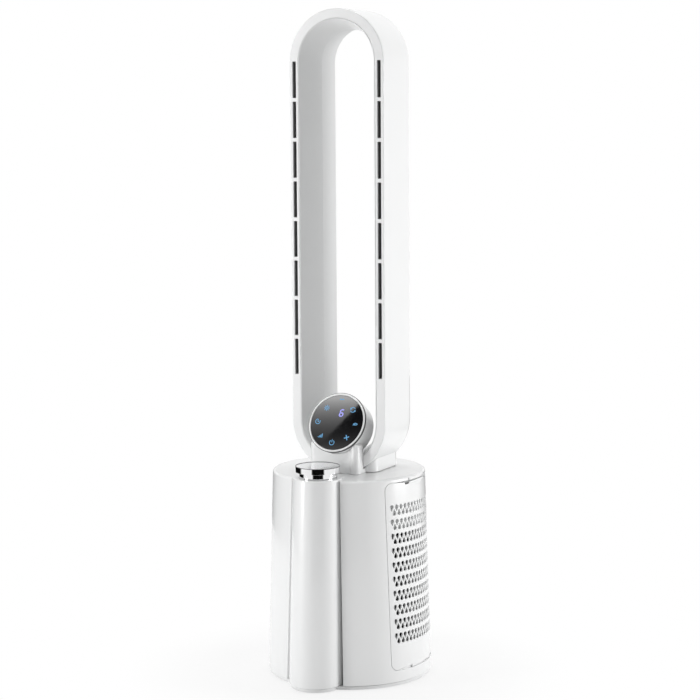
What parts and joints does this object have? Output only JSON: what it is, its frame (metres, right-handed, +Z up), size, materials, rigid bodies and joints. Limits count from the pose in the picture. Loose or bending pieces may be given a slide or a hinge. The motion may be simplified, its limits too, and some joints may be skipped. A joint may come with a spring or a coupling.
{
  "type": "bladeless tower fan",
  "caption": "Tall bladeless fan: round body with tip-out side filter covers and a blower, front column with a lift-out canister, tilted round display, and a tall loop with air slits.",
  "frame": {"origin": "bottom centre of the bounding box, on the floor under the feet", "axes": "+Z up, the front (display and knob) faces -Y, +X is to the right seen from the front"},
  "size_m": [0.249, 0.276, 1],
  "materials": {
    "white_gloss": "gloss moulded",
    "white_satin": "satin moulded",
    "white_inner": "moulded",
    "black_plastic": "moulded",
    "grey_plastic": "moulded",
    "gear_plastic": "moulded acetal",
    "rubber": "moulded",
    "steel": "turned",
    "brass": "turned",
    "chrome": "polished",
    "filter_paper": "pleated, with a dark outer mesh",
    "display_glass": "black, polished",
    "board": "lacquered"
  },
  "bodies": {
    "plinth": {"plinth": "white_satin", "foot_front": "rubber", "foot_front_left": "rubber", "foot_front_right": "rubber", "foot_rear_left": "rubber", "foot_rear_right": "rubber", "pivot_post": "steel", "pivot_washer": "steel", "pivot_nut": "steel", "glide_ring": "gear_plastic", "fixed_gear": "gear_plastic"},
    "housing": {"body_shell": "white_gloss", "column_shell": "white_gloss", "canister_sleeve": "white_inner", "body_floor": "white_inner", "filter_frame_right": "white_inner", "filter_frame_left": "white_inner", "swing_motor": "steel", "inlet_bell": "black_plastic", "blower_casing": "grey_plastic", "guide_vanes": "grey_plastic", "motor_mount": "rubber", "fan_motor": "steel", "neck_adapter": "grey_plastic", "neck_seal": "rubber", "neck": "white_gloss", "loop_front": "white_gloss", "loop_outer_shell": "white_gloss", "loop_inner_shell": "white_satin", "slit_liner_left": "black_plastic", "slit_liner_right": "black_plastic", "display_bezel": "white_gloss", "display_glass": "display_glass", "display_board": "board", "display_housing": "white_gloss", "display_cradle": "white_gloss", "cradle_screw_left": "steel", "cradle_screw_right": "steel", "mains_inlet": "black_plastic", "inlet_pin_left": "brass", "inlet_pin_right": "brass", "power_board": "board"},
    "impeller": {"impeller": "black_plastic", "motor_shaft": "steel", "impeller_nut": "brass"},
    "pinion": {"drive_pinion": "gear_plastic"},
    "cover_right": {"filter_cover_right": "white_gloss", "filter_pack_right": "filter_paper"},
    "cover_left": {"filter_cover_left": "white_gloss", "filter_pack_left": "filter_paper"},
    "canister": {"canister": "white_satin"},
    "knob": {"knob_disc": "chrome", "knob_neck": "chrome", "plug_seal": "rubber"}
  },
  "joints": [
    {"name": "swing", "type": "hinge", "parent": "plinth", "child": "housing", "pos_m": [0, 0.0135, 0], "axis": [0, 0, 1], "range_deg": [-40, 40]},
    {"name": "pinion_spin", "type": "hinge", "parent": "housing", "child": "pinion", "pos_m": [0, 0.04735, 0], "axis": [0, 0, 1], "range_deg": [-101, 101]},
    {"name": "impeller_spin", "type": "hinge", "parent": "housing", "child": "impeller", "pos_m": [0, 0.03, 0.18], "axis": [0, 0, 1], "continuous": true},
    {"name": "cover_right_tip", "type": "hinge", "parent": "housing", "child": "cover_right", "pos_m": [0.12398, 0.0135, 0.025], "axis": [0, 1, 0], "range_deg": [0, 25]},
    {"name": "cover_left_tip", "type": "hinge", "parent": "housing", "child": "cover_left", "pos_m": [-0.12398, 0.0135, 0.025], "axis": [0, -1, 0], "range_deg": [0, 25]},
    {"name": "canister_lift", "type": "slide", "parent": "housing", "child": "canister", "axis": [0, 0, 1], "range_m": [0, 0.125]},
    {"name": "knob_pull", "type": "slide", "parent": "canister", "child": "knob", "axis": [0, 0, 1], "range_m": [0, 0.03]}
  ],
  "couplings": [
    {"joint": "pinion_spin", "follows": "swing", "ratio": 2.5}
  ]
}
